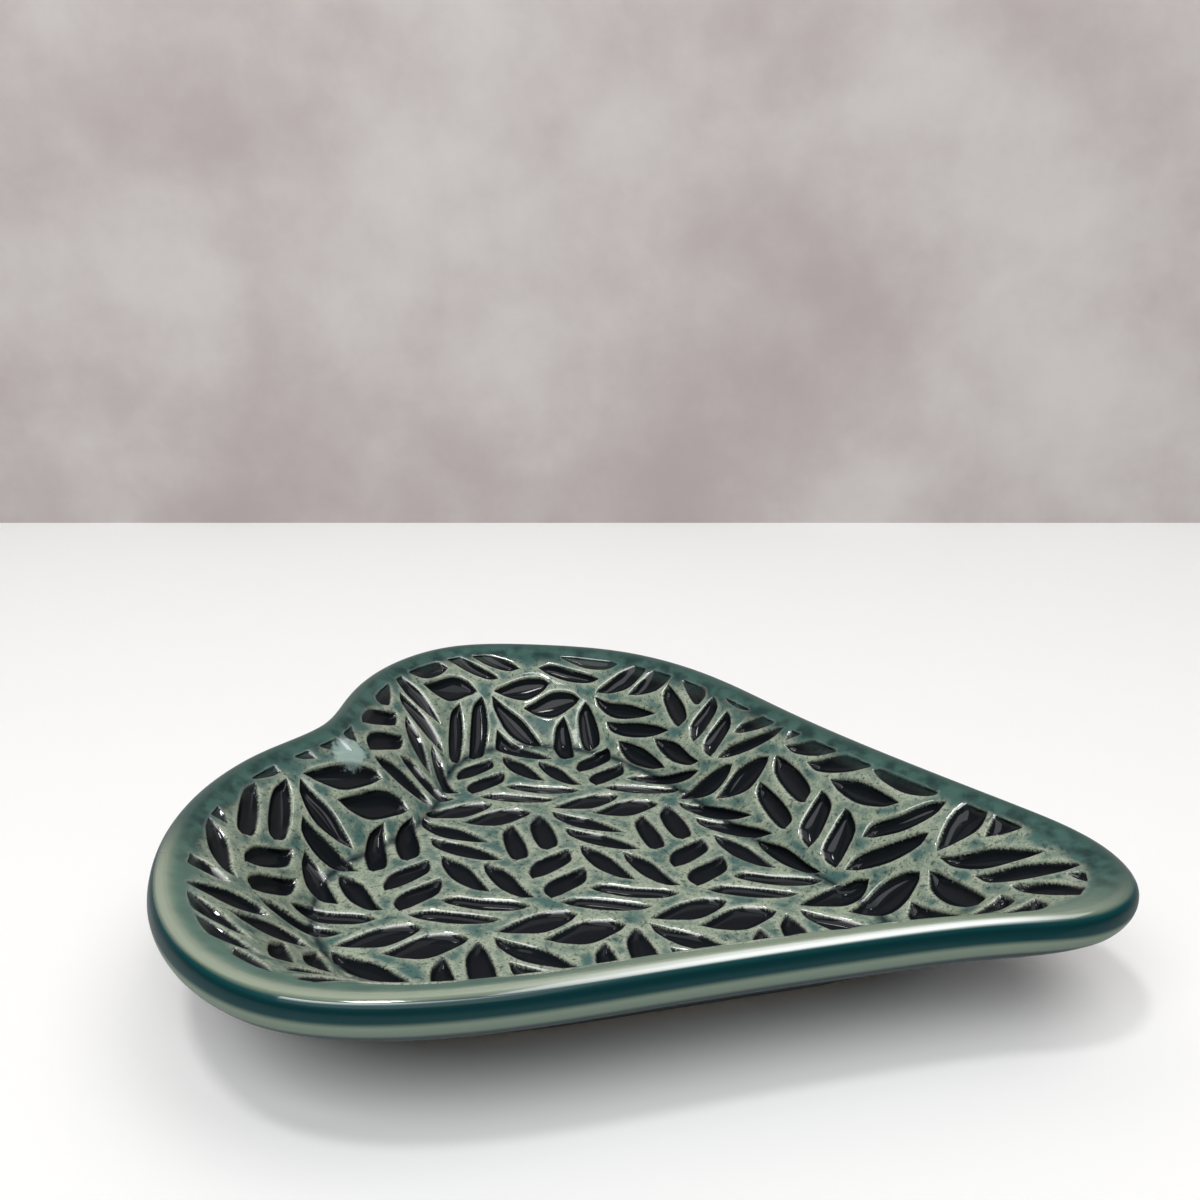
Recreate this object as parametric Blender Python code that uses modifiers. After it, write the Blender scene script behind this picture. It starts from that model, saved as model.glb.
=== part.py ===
"""A heart-shaped trinket dish, 133 mm long: one bent stoneware slab under a coat of glaze.

The clay body is a flat heart with its wall flared outwards to a larger heart.
Its upper face carries a printed pattern of leaves, pressed in before the slab was bent.
The glaze coat follows the marks. It covers the inside, the rim and the outside.
It stops above the bare foot.
Lengths are in metres, +Z is up, and the dish stands on the plane Z = 0 with its tip at +X.
"""
import bmesh
import bpy
import numpy as np
from mathutils import Vector, bvhtree, geometry

MM = 0.001

# Rim: the heart along the inner edge of the slab's end
RIM_LENGTH = 130.0 * MM
RIM_WIDTH = 115.5 * MM

# Floor: the smaller heart along the crease, set back towards the cleft
FLOOR_LENGTH = 81.5 * MM
FLOOR_WIDTH = 76.0 * MM
FLOOR_SETBACK = 5.5 * MM
FLOOR_SIDESTEP = 2.0 * MM

# Slab: its thickness, and how far the wall climbs from the crease to the rim
SLAB_THICKNESS = 3.8 * MM
WALL_RISE = 15.2 * MM
RIM_ROUND = 1.1 * MM
FOOT_ROUND = 1.4 * MM

# Glaze: its thickness, its seat on the clay, and the bare height that it leaves at the foot
GLAZE_THICKNESS = 0.4 * MM
GLAZE_SEAT_GAP = 0.3 * MM
BARE_FOOT_HEIGHT = 2.4 * MM

# Print: the size of the mat's repeat, the depth of a mark, the margin that marks keep from
# a bend of the slab, and the length over which the wall's clay was stretched as it was raised
REPEAT_SIZE = 37.25 * MM
MARK_DEPTH = 1.2 * MM
MARK_MARGIN = 0.7 * MM
STRETCH_LENGTH = 8.0 * MM

# Counts and angles
STEPS_PER_SPAN = 4
MARKED_RINGS = 4
REPEATS = 6
ROUND_SEGMENTS = 3
FOOT_CORNER_ANGLE = np.radians(15)
CRISP_ANGLE = np.radians(35)

# Colours and finishes, read off the fired piece
CLAY_COLOUR = (0.56, 0.47, 0.36, 1.0)
CLAY_ROUGHNESS = 0.85
GLAZE_COLOUR = (0.09, 0.20, 0.17, 1.0)
GLAZE_ROUGHNESS = 0.12

# The rim heart, from its cleft round the far lobe, the tip and the near lobe,
# as shares of the rim's length and width from the middle of each
RIM_OUTLINE_SHARES = [
    (-0.460, 0.040), (-0.480, 0.135), (-0.500, 0.265), (-0.460, 0.405), (-0.330, 0.480), (-0.195, 0.500),
    (-0.050, 0.450), (0.090, 0.345), (0.240, 0.240), (0.395, 0.145), (0.470, 0.085), (0.500, 0.005),
    (0.475, -0.065), (0.400, -0.120), (0.270, -0.210), (0.105, -0.340), (-0.050, -0.455), (-0.185, -0.500),
    (-0.325, -0.450), (-0.422, -0.340), (-0.480, -0.185), (-0.480, -0.065),
]

# The floor heart, point for point with the rim's
FLOOR_OUTLINE_SHARES = [
    (-0.440, 0.005), (-0.460, 0.150), (-0.500, 0.280), (-0.475, 0.410), (-0.360, 0.488), (-0.215, 0.497),
    (-0.065, 0.433), (0.070, 0.340), (0.230, 0.215), (0.375, 0.120), (0.465, 0.055), (0.500, 0.000),
    (0.465, -0.060), (0.365, -0.145), (0.220, -0.250), (0.060, -0.370), (-0.075, -0.455), (-0.235, -0.500),
    (-0.370, -0.450), (-0.455, -0.350), (-0.495, -0.230), (-0.465, -0.105),
]

# The wall's profile, as shares of its run and of its rise: steep at first, easing out to the rim
WALL_PROFILE_SHARES = [(0.0, 0.0), (0.27, 0.33), (0.55, 0.65), (0.80, 0.89), (1.0, 1.0)]

# How far the print was carried outwards with the stretched clay, as shares of the stretch's
# length, point for point with the rim's outline
STRETCH_SHARES = [
    (0.15, 0.15), (0.06, 0.40), (0.04, 0.50), (-0.07, 0.67), (0.22, 0.22), (0.40, -0.30),
    (0.45, -0.35), (0.32, -0.50), (0.28, -0.47), (0.12, -0.35), (0.27, -0.27), (0.40, -0.20),
    (0.37, -0.19), (0.31, -0.19), (0.25, -0.25), (0.25, -0.25), (0.31, -0.31), (0.37, -0.45),
    (0.40, -0.65), (0.32, -0.72), (0.21, -0.50), (0.10, -0.30),
]

# The mat's repeat: the two steps that carry one cell on to the next, as shares of its size
ACROSS_SHARES = (0.514, 0.299)
ALONG_SHARES = (-0.199, 0.980)

# The leaves of one cell, each by eight points of its outline as shares of the repeat's size:
# the first tip, three points down one side, the other tip, and three points back
MARK_SHARES = [
    [(-0.612, 0.433), (-0.559, 0.379), (-0.444, 0.339), (-0.310, 0.348),
     (-0.225, 0.367), (-0.276, 0.393), (-0.405, 0.431), (-0.528, 0.429)],
    [(-0.492, 0.310), (-0.438, 0.256), (-0.327, 0.225), (-0.204, 0.229),
     (-0.110, 0.257), (-0.181, 0.292), (-0.304, 0.317), (-0.422, 0.313)],
    [(0.104, 0.450), (0.054, 0.362), (0.019, 0.286), (0.029, 0.219),
     (0.068, 0.170), (0.112, 0.236), (0.155, 0.351), (0.138, 0.412)],
    [(0.224, 0.338), (0.177, 0.258), (0.133, 0.169), (0.146, 0.110),
     (0.199, 0.065), (0.235, 0.138), (0.273, 0.230), (0.252, 0.306)],
    [(-0.372, 0.200), (-0.324, 0.127), (-0.234, 0.050), (-0.125, 0.015),
     (-0.048, 0.020), (-0.109, 0.074), (-0.215, 0.152), (-0.304, 0.187)],
    [(-0.180, 0.213), (-0.131, 0.144), (-0.030, 0.064), (0.076, 0.032),
     (0.138, 0.048), (0.070, 0.091), (-0.030, 0.173), (-0.114, 0.205)],
    [(-0.206, -0.107), (-0.142, -0.115), (-0.025, -0.107), (0.093, -0.063),
     (0.150, -0.009), (0.076, -0.003), (-0.053, -0.037), (-0.164, -0.056)],
    [(-0.277, -0.244), (-0.201, -0.248), (-0.081, -0.229), (0.031, -0.183),
     (0.082, -0.136), (0.026, -0.134), (-0.109, -0.154), (-0.220, -0.186)],
    [(-0.141, 0.683), (-0.139, 0.594), (-0.081, 0.490), (-0.013, 0.418),
     (0.029, 0.404), (0.048, 0.471), (-0.008, 0.566), (-0.089, 0.653)],
    [(-0.212, 0.555), (-0.218, 0.477), (-0.159, 0.373), (-0.092, 0.296),
     (-0.053, 0.277), (-0.030, 0.334), (-0.081, 0.421), (-0.162, 0.510)],
    [(-0.619, 0.460), (-0.528, 0.488), (-0.447, 0.530), (-0.391, 0.614),
     (-0.372, 0.686), (-0.438, 0.686), (-0.528, 0.619), (-0.598, 0.510)],
    [(-0.432, 0.482), (-0.338, 0.494), (-0.254, 0.530), (-0.192, 0.628),
     (-0.174, 0.688), (-0.248, 0.695), (-0.338, 0.647), (-0.405, 0.535)],
]

# The line that is pressed deepest: from the first tip over the two keel points to the other tip
KEEL_LINE = [(0, 8), (8, 9), (9, 4)]


def clear_scene():
    """Remove whatever the file opened with."""
    for item in list(bpy.data.objects):
        bpy.data.objects.remove(item, do_unlink=True)


def smooth_loop(points, steps):
    """Points along the closed cubic spline through the given points, the same count in each span."""
    knots = np.array(points)
    count = len(knots)
    ahead = np.roll(knots, -1, axis=0)
    chord = np.linalg.norm(ahead - knots, axis=1)
    behind = np.roll(chord, 1)
    slope = (ahead - knots) / chord[:, None]
    system = np.zeros((count, count))
    for i in range(count):
        system[i, i - 1] += behind[i]
        system[i, i] += 2 * (behind[i] + chord[i])
        system[i, (i + 1) % count] += chord[i]
    bend = np.linalg.solve(system, 6 * (slope - np.roll(slope, 1, axis=0)))
    bend_ahead = np.roll(bend, -1, axis=0)
    loop = []
    for i in range(count):
        for k in range(steps):
            t = chord[i] * k / steps
            rest = chord[i] - t
            point = (bend[i] * rest ** 3 + bend_ahead[i] * t ** 3) / (6 * chord[i])
            point += (knots[i] / chord[i] - bend[i] * chord[i] / 6) * rest
            point += (ahead[i] / chord[i] - bend_ahead[i] * chord[i] / 6) * t
            loop.append(point)
    return np.array(loop)


def heart(shares, length, width, back, aside):
    """A closed heart in the plane, from shares of its length and width."""
    points = [(x * length - back, y * width + aside) for x, y in shares]
    return smooth_loop(points, STEPS_PER_SPAN)


def along_outline(shares, count):
    """Values given at an outline's points, spread evenly over the points of its loop."""
    table = np.array(shares + shares[:1])
    at = np.arange(count) / STEPS_PER_SPAN
    return np.stack([np.interp(at, np.arange(len(table)), column) for column in table.T], axis=1)


def slab_rings():
    """The rings of the slab's upper face, from the crease to the rim: bent places and printed places."""
    rim = heart(RIM_OUTLINE_SHARES, RIM_LENGTH, RIM_WIDTH, 0.0, 0.0)
    floor = heart(FLOOR_OUTLINE_SHARES, FLOOR_LENGTH, FLOOR_WIDTH, FLOOR_SETBACK, FLOOR_SIDESTEP)
    reach = np.linalg.norm(rim - floor, axis=1)[:, None]
    pull = along_outline(STRETCH_SHARES, len(rim)) * STRETCH_LENGTH
    travelled = np.zeros_like(reach)
    last_run, last_rise = 0.0, 0.0
    bent = []
    printed = []
    for run, rise in WALL_PROFILE_SHARES:
        travelled = travelled + np.hypot((run - last_run) * reach, (rise - last_rise) * WALL_RISE)
        last_run, last_rise = run, rise
        height = np.full_like(reach, SLAB_THICKNESS + rise * WALL_RISE)
        bent.append(np.hstack([floor + (rim - floor) * run, height]))
        settled = 1 - np.exp(-travelled / STRETCH_LENGTH)
        printed.append(floor + (rim - floor) / reach * travelled - pull * settled)
    return bent, printed


def ring(mesh, places):
    """A closed loop of edges."""
    verts = [mesh.verts.new(place) for place in places]
    return [mesh.edges.new((a, b)) for a, b in zip(verts, verts[1:] + verts[:1])]


def slab_surface(bent):
    """The clay's upper face as a plain open sheet: the floor, and the wall up to its end."""
    mesh = bmesh.new()
    loops = [ring(mesh, places) for places in bent]
    bmesh.ops.triangle_fill(mesh, edges=loops[0], use_beauty=True, use_dissolve=False)
    for lower, upper in zip(loops, loops[1:]):
        bmesh.ops.bridge_loops(mesh, edges=lower + upper)
    bmesh.ops.recalc_face_normals(mesh, faces=mesh.faces[:])
    if sum(face.normal.z for face in mesh.faces) < 0:
        bmesh.ops.reverse_faces(mesh, faces=mesh.faces[:])
    return mesh


def to_loop(points, loop):
    """How far each point is from a closed loop."""
    step = np.roll(loop, -1, axis=0) - loop
    away = points[:, None] - loop[None]
    share = np.clip((away * step).sum(axis=-1) / (step ** 2).sum(axis=-1), 0, 1)
    return np.linalg.norm(away - share[..., None] * step, axis=-1).min(axis=1)


def within(points, loop):
    """Whether each point is inside a closed loop."""
    ahead = np.roll(loop, -1, axis=0)
    x, y = points[:, None, 0], points[:, None, 1]
    side = (ahead[:, 0] - loop[:, 0]) * (y - loop[:, 1]) - (ahead[:, 1] - loop[:, 1]) * (x - loop[:, 0])
    up = (loop[:, 1] <= y) & (ahead[:, 1] > y) & (side > 0)
    down = (loop[:, 1] > y) & (ahead[:, 1] <= y) & (side < 0)
    return up.sum(axis=1) != down.sum(axis=1)


def printed_marks(crease, last):
    """Every mark that lies clear of the crease and inside the last marked ring: its outline and its keel."""
    kept = []
    for i in range(-REPEATS, REPEATS + 1):
        for j in range(-REPEATS, REPEATS + 1):
            step = np.array(ACROSS_SHARES) * i + np.array(ALONG_SHARES) * j
            for shares in MARK_SHARES:
                outline = (np.array(shares) + step) * REPEAT_SIZE
                around = np.vstack([outline, (outline + np.roll(outline, -1, axis=0)) / 2])
                clear = min(to_loop(around, crease).min(), to_loop(around, last).min()) > MARK_MARGIN
                if clear and within(around, last).all():
                    keel = (outline[[1, 3]] + outline[[7, 5]]) / 2
                    kept.append((outline, keel))
    return kept


class Bending:
    """Carries a place on the flat print to the bent sheet."""

    def __init__(self, sheet, printed):
        self.flat = sheet.copy()
        for vert, (x, y) in zip(self.flat.verts, np.vstack(printed)):
            vert.co = (x, y, 0.0)
        self.flat.verts.index_update()
        bmesh.ops.triangulate(self.flat, faces=self.flat.faces[:])
        self.flat.faces.ensure_lookup_table()
        self.bent = [vert.co.copy() for vert in sheet.verts]
        self.tree = bvhtree.BVHTree.FromBMesh(self.flat)

    def place(self, x, y, depth):
        """The place at a depth under the bent sheet."""
        hit, _, index, _ = self.tree.find_nearest((x, y, 0.0))
        corners = self.flat.faces[index].verts
        flat = [vert.co for vert in corners]
        bent = [self.bent[vert.index] for vert in corners]
        return geometry.barycentric_transform(hit, *flat, *bent) - geometry.normal(*bent) * depth


def marked_sheet(bending, printed):
    """The upper face inside the last marked ring, with each mark pressed in as a groove."""
    crease, last = printed[0], printed[MARKED_RINGS - 1]
    marks = printed_marks(crease, last)
    flat = []
    edges = []
    for loop in (crease, last):
        first = len(flat)
        flat += [(x, y, 0.0) for x, y in loop]
        edges += [(first + k, first + (k + 1) % len(loop)) for k in range(len(loop))]
    for outline, keel in marks:
        first = len(flat)
        flat += [(x, y, 0.0) for x, y in outline] + [(x, y, MARK_DEPTH) for x, y in keel]
        edges += [(first + k, first + (k + 1) % len(outline)) for k in range(len(outline))]
        edges += [(first + a, first + b) for a, b in KEEL_LINE]
    for loop in printed[1:MARKED_RINGS - 1]:
        clear = [~within(loop, edge) & (to_loop(loop, edge) > MARK_MARGIN) for edge, _ in marks]
        flat += [(x, y, 0.0) for x, y in loop[np.all(clear, axis=0)]]
    filled = geometry.delaunay_2d_cdt([Vector(place[:2]) for place in flat], edges, [], 0, MM * MM)
    mesh = bmesh.new()
    for place, origins in zip(filled[0], filled[3]):
        depth = max([flat[k][2] for k in origins], default=0.0)
        mesh.verts.new(bending.place(place.x, place.y, depth))
    mesh.verts.ensure_lookup_table()
    middles = [sum((filled[0][k] for k in face), Vector((0.0, 0.0))) / 3 for face in filled[2]]
    for face, kept in zip(filled[2], within(np.array(middles), last)):
        if kept:
            mesh.faces.new([mesh.verts[k] for k in face])
    return mesh


def join(mesh, piece):
    """Add one mesh's faces to another."""
    piece.verts.index_update()
    verts = [mesh.verts.new(vert.co) for vert in piece.verts]
    for face in piece.faces:
        mesh.faces.new([verts[vert.index] for vert in face.verts])
    piece.free()


def slab_floor(mesh):
    """The vertices of the slab's flat underside."""
    return [vert for vert in mesh.verts if vert.co.z < SLAB_THICKNESS / 2]


def round_corners(mesh, radius, corners):
    """Round the given edges with arcs of one radius."""
    bmesh.ops.bevel(mesh, geom=corners, affect="EDGES", offset=radius, offset_type="OFFSET",
                    segments=ROUND_SEGMENTS, profile=0.5, material=-1, clamp_overlap=True)


def clay_solid():
    """The whole clay body: the sheet thickened downwards, its end and foot rounded, its face marked."""
    bent, printed = slab_rings()
    mesh = slab_surface(bent)
    marked = marked_sheet(Bending(mesh, printed), printed)
    plain = set(mesh.verts[:MARKED_RINGS * len(bent[0])])
    top = set(mesh.verts)
    bmesh.ops.solidify(mesh, geom=mesh.faces[:], thickness=SLAB_THICKNESS)
    bmesh.ops.recalc_face_normals(mesh, faces=mesh.faces[:])
    for vert in slab_floor(mesh):
        vert.co.z = 0.0
    end = {face for face in mesh.faces if 0 < len(top.intersection(face.verts)) < len(face.verts)}
    rim = [edge for edge in mesh.edges if len(end.intersection(edge.link_faces)) == 1]
    round_corners(mesh, RIM_ROUND, rim)
    under = set(slab_floor(mesh))
    foot = [edge for edge in mesh.edges if edge.calc_face_angle() > FOOT_CORNER_ANGLE
            and all(vert in under for vert in edge.verts)]
    round_corners(mesh, FOOT_ROUND, foot)
    bare = [face for face in mesh.faces if all(vert in plain for vert in face.verts)]
    bmesh.ops.delete(mesh, geom=bare, context="FACES")
    join(mesh, marked)
    bmesh.ops.remove_doubles(mesh, verts=mesh.verts[:], dist=MM * MM)
    bmesh.ops.recalc_face_normals(mesh, faces=mesh.faces[:])
    return mesh


def stand_on_origin(mesh):
    """Shift the mesh so that the middle of its box, seen from above, is the origin."""
    places = np.array([vert.co for vert in mesh.verts])
    middle = (places.min(axis=0) + places.max(axis=0)) / 2
    bmesh.ops.translate(mesh, verts=mesh.verts[:], vec=(-middle[0], -middle[1], 0.0))


def glaze_sheet(clay):
    """The glaze's inner face: the clay's surface above the bare foot, lifted off it by the seat's gap."""
    mesh = clay.copy()
    cut = mesh.verts[:] + mesh.edges[:] + mesh.faces[:]
    bmesh.ops.bisect_plane(mesh, geom=cut, plane_co=(0.0, 0.0, BARE_FOOT_HEIGHT), plane_no=(0.0, 0.0, 1.0),
                           clear_inner=True)
    mesh.normal_update()
    moves = [(vert, vert.normal * vert.calc_shell_factor() * GLAZE_SEAT_GAP) for vert in mesh.verts]
    for vert, move in moves:
        vert.co += move
    return mesh


def material(name, colour, roughness, coat):
    """A Principled material of one colour."""
    made = bpy.data.materials.new(name)
    made.use_nodes = True
    shader = made.node_tree.nodes["Principled BSDF"]
    shader.inputs["Base Color"].default_value = colour
    shader.inputs["Roughness"].default_value = roughness
    shader.inputs["Metallic"].default_value = 0.0
    shader.inputs["Coat Weight"].default_value = coat
    made.diffuse_color = colour
    return made


def add_part(name, mesh, finish, collection):
    """A named object from a finished mesh, shaded smooth up to its crisp edges, in the dish's collection."""
    data = bpy.data.meshes.new(name)
    mesh.to_mesh(data)
    mesh.free()
    data.materials.append(finish)
    data.shade_smooth()
    data.set_sharp_from_angle(angle=CRISP_ANGLE)
    part = bpy.data.objects.new(name, data)
    collection.objects.link(part)
    return part


def add_glaze_coat(sheet, collection):
    """The glaze: its inner face, thickened outwards."""
    finish = material("teal_glaze", GLAZE_COLOUR, GLAZE_ROUGHNESS, 1.0)
    coat = add_part("glaze_coat", sheet, finish, collection)
    thicken = coat.modifiers.new("glaze_thickness", "SOLIDIFY")
    thicken.thickness = GLAZE_THICKNESS
    thicken.offset = 1.0
    thicken.use_even_offset = True
    return coat


def add_clay_body(clay, collection):
    """The fired clay, bare at its foot."""
    finish = material("bare_stoneware", CLAY_COLOUR, CLAY_ROUGHNESS, 0.0)
    return add_part("clay_body", clay, finish, collection)


def main():
    clear_scene()
    dish = bpy.data.collections.new("heart_dish")
    bpy.context.scene.collection.children.link(dish)
    clay = clay_solid()
    stand_on_origin(clay)
    glaze = glaze_sheet(clay)
    add_clay_body(clay, dish)
    add_glaze_coat(glaze, dish)


if __name__ == "__main__":
    main()
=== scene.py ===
# %% [markdown]
# # A heart-shaped trinket dish in pressed and glazed stoneware
# The real dish is one slab of clay. A rubber mat printed it all over with leaf and bar marks,
# then the slab was bent up at its edge into a flared wall, fired, and dipped in a teal glaze.
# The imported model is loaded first: it fixes the dish's size and place, and the looks are built round it.

# %% Load the frame
from math import pi, radians

import bmesh
import bpy
import numpy as np
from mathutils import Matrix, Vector
from mathutils.bvhtree import BVHTree
from mathutils.geometry import barycentric_transform
from mathutils.kdtree import KDTree


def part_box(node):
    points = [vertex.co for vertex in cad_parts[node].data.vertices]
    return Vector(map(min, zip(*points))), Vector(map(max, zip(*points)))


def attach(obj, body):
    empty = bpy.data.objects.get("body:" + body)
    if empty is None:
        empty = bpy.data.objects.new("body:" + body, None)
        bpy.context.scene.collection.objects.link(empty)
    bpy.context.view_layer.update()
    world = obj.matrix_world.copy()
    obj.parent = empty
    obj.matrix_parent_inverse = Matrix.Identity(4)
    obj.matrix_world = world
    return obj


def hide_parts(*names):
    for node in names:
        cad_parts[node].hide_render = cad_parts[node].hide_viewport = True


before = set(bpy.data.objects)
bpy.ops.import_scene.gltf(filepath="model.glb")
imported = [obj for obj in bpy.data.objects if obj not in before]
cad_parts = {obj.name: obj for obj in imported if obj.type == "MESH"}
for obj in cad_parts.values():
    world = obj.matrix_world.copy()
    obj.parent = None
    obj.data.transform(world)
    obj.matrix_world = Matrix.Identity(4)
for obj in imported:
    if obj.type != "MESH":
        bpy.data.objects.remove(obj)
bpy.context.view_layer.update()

MM = 0.001
glaze_low, glaze_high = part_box("glaze_coat")

# %% [markdown]
# ## The camera
# A dish this small is photographed from close by, so the near rim looms and the far one shrinks.
# A 33 mm lens on a 36 mm sensor, about 170 mm from the dish's middle and looking down by 17 degrees,
# gives that perspective. The camera stands in front of the dish and a little towards its tip.

# %% Camera
CAMERA_PLACE = (47.4 * MM, -138.7 * MM, 94.3 * MM)
CAMERA_DOWN = radians(17.08)
CAMERA_TURN = radians(21.5)
LENS = 33.0
SENSOR_WIDTH = 36.0
NEAREST_SEEN = 5 * MM

camera = bpy.data.objects.new("camera", bpy.data.cameras.new("camera"))
camera.data.lens = LENS
camera.data.sensor_width = SENSOR_WIDTH
camera.data.clip_start = NEAREST_SEEN
camera.location = CAMERA_PLACE
camera.rotation_euler = (pi / 2 - CAMERA_DOWN, 0.0, CAMERA_TURN)
bpy.context.scene.collection.objects.link(camera)
bpy.context.scene.camera = camera
print("camera at", [round(place / MM, 1) for place in CAMERA_PLACE], "mm")

# %% [markdown]
# ## The two hearts
# The dish has two outlines: the crease, where the wall leaves the floor, and the rim.
# Each could be drawn with a curve object, but a smooth spline through a few points is easy to sample
# as finely as a surface needs. The points are shares of the heart's length and width.

# %% Outlines of the rim and of the crease
RIM_LENGTH, RIM_WIDTH = 130.0 * MM, 115.5 * MM
FLOOR_LENGTH, FLOOR_WIDTH = 81.5 * MM, 76.0 * MM
FLOOR_SETBACK, FLOOR_SIDESTEP = 5.5 * MM, 2.0 * MM
RIM_OUTLINE_SHARES = [
    (-0.460, 0.040), (-0.480, 0.135), (-0.500, 0.265), (-0.460, 0.405), (-0.330, 0.480), (-0.195, 0.500),
    (-0.050, 0.450), (0.090, 0.345), (0.240, 0.240), (0.395, 0.145), (0.470, 0.085), (0.500, 0.005),
    (0.475, -0.065), (0.400, -0.120), (0.270, -0.210), (0.105, -0.340), (-0.050, -0.455), (-0.185, -0.500),
    (-0.325, -0.450), (-0.422, -0.340), (-0.480, -0.185), (-0.480, -0.065),
]
FLOOR_OUTLINE_SHARES = [
    (-0.440, 0.005), (-0.460, 0.150), (-0.500, 0.280), (-0.475, 0.410), (-0.360, 0.488), (-0.215, 0.497),
    (-0.065, 0.433), (0.070, 0.340), (0.230, 0.215), (0.375, 0.120), (0.465, 0.055), (0.500, 0.000),
    (0.465, -0.060), (0.365, -0.145), (0.220, -0.250), (0.060, -0.370), (-0.075, -0.455), (-0.235, -0.500),
    (-0.370, -0.450), (-0.455, -0.350), (-0.495, -0.230), (-0.465, -0.105),
]
SPLINE_STEPS = 48


def smooth_loop(points):
    """Points along the closed cubic spline through the given points."""
    knots = np.array(points)
    count = len(knots)
    ahead = np.roll(knots, -1, axis=0)
    chord = np.linalg.norm(ahead - knots, axis=1)
    slope = (ahead - knots) / chord[:, None]
    system = np.zeros((count, count))
    for i in range(count):
        system[i, i - 1] += chord[i - 1]
        system[i, i] += 2 * (chord[i - 1] + chord[i])
        system[i, (i + 1) % count] += chord[i]
    bend = np.linalg.solve(system, 6 * (slope - np.roll(slope, 1, axis=0)))
    bend_ahead = np.roll(bend, -1, axis=0)
    gone = (chord[:, None] * np.arange(SPLINE_STEPS) / SPLINE_STEPS)[..., None]
    span = chord[:, None, None]
    rest = span - gone
    loop = (bend[:, None] * rest ** 3 + bend_ahead[:, None] * gone ** 3) / (6 * span)
    loop += (knots[:, None] / span - bend[:, None] * span / 6) * rest
    loop += (ahead[:, None] / span - bend_ahead[:, None] * span / 6) * gone
    return loop.reshape(-1, 2)


rim_loop = smooth_loop([(x * RIM_LENGTH, y * RIM_WIDTH) for x, y in RIM_OUTLINE_SHARES])
floor_loop = smooth_loop([(x * FLOOR_LENGTH - FLOOR_SETBACK, y * FLOOR_WIDTH + FLOOR_SIDESTEP)
                          for x, y in FLOOR_OUTLINE_SHARES])
print(len(rim_loop), "points round each heart")

# %% [markdown]
# ## The bent slab
# Every surface of the dish runs side by side with one sheet: the slab's upper face, flat on the floor and
# rising to the rim. Its place is worked out for any number of columns round the heart, and each surface
# then stands off it by its own distance, as a skin of glaze stands off the clay.

# %% The slab's upper face, and rows that stand off it
SLAB_THICKNESS = 3.8 * MM
WALL_RISE = 15.05 * MM
STEEP, LEAN, EASE_OUT = 1.22, 0.20, 0.42
NUDGE = 0.001


def wall_rise(run):
    """The wall's height as a share of its rise: steep at first, easing out to the rim."""
    return STEEP * run + LEAN * run ** 2 - EASE_OUT * run ** 3


def ways_round(count):
    """Ways along the middle of the wall: to each point of the loops, and to evenly spaced columns."""
    middle = (rim_loop + floor_loop) / 2
    steps = np.linalg.norm(np.roll(middle, -1, axis=0) - middle, axis=1)
    travelled = np.append(0.0, np.cumsum(steps))
    return travelled, np.arange(count) / count * travelled[-1]


def even_columns(count):
    """Pairs of places on the crease and the rim, evenly spaced along the middle of the wall."""
    travelled, wanted = ways_round(count)
    closed = [np.append(loop, loop[:1], axis=0) for loop in (floor_loop, rim_loop)]
    return [np.stack([np.interp(wanted, travelled, loop[:, axis]) for axis in (0, 1)], axis=1)
            for loop in closed]


def on_slab(crease, rim, run):
    """Places on the slab's upper face at the given shares of the wall's run."""
    flat = crease + (rim - crease) * run
    return np.concatenate([flat, SLAB_THICKNESS + WALL_RISE * wall_rise(run)], axis=2)


def unit(vectors):
    """The same directions, each one long."""
    return vectors / np.linalg.norm(vectors, axis=-1, keepdims=True)


def slab_rows(count, section):
    """Places and normals in rows round the heart; a row is a share of the run, a way along, a way off."""
    crease, rim = even_columns(count)
    run, along, off = [np.array([np.broadcast_to(entry[k], count) for entry in section])[..., None]
                       for k in range(3)]
    face = on_slab(crease, rim, run)
    up_wall = unit(on_slab(crease, rim, run + NUDGE) - face)
    around = unit(np.roll(face, -1, axis=1) - np.roll(face, 1, axis=1))
    normal = unit(np.cross(around, up_wall))
    if normal[..., 2].mean() < 0:
        normal = -normal
    upright = np.array([0.0, 0.0, 1.0])
    mitre = (normal + upright) / (1.0 + normal[..., 2:])
    places = face + up_wall * along + np.where(run == 0, mitre, normal) * off
    return places, normal


corners = slab_rows(8, [(0.0, 0.0, 0.0), (1.0, 0.0, 0.0)])[0]
print("wall climbs from", round(corners[0, 0, 2] / MM, 2), "to", round(corners[1, 0, 2] / MM, 2), "mm")

# %% [markdown]
# ## The slab's cut end
# At the rim the slab was cut square and its corners were wiped round with a wet sponge. Two quarter
# circles and the short flat between them make that section, and the same helper draws it for the glaze,
# for the glaze's back and for the clay, each set in by its own distance.

# %% Sections from the crease, over the rim and down to the foot
GLAZE_OUT = 0.7 * MM
GLAZE_THICKNESS = 0.4 * MM
SEAT_GAP = 0.3 * MM
RIM_ROUND = 1.1 * MM
GLAZE_LINE_HEIGHT = 1.9 * MM
DRAW_BACK = 4
HEIGHT_SAMPLES = 60


def end_section(top, bottom, overhang, corner, steps):
    """The cut end, from its upper face round to its underside, as rows at the end of the run."""
    rows = []
    for k in range(steps + 1):
        turn = pi / 2 * k / steps
        rows.append((1.0, overhang - corner + corner * np.sin(turn), top - corner + corner * np.cos(turn)))
    for k in range(steps + 1):
        turn = pi / 2 * k / steps
        rows.append((1.0, overhang - corner + corner * np.cos(turn),
                     bottom + corner - corner * np.sin(turn)))
    return rows


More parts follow.
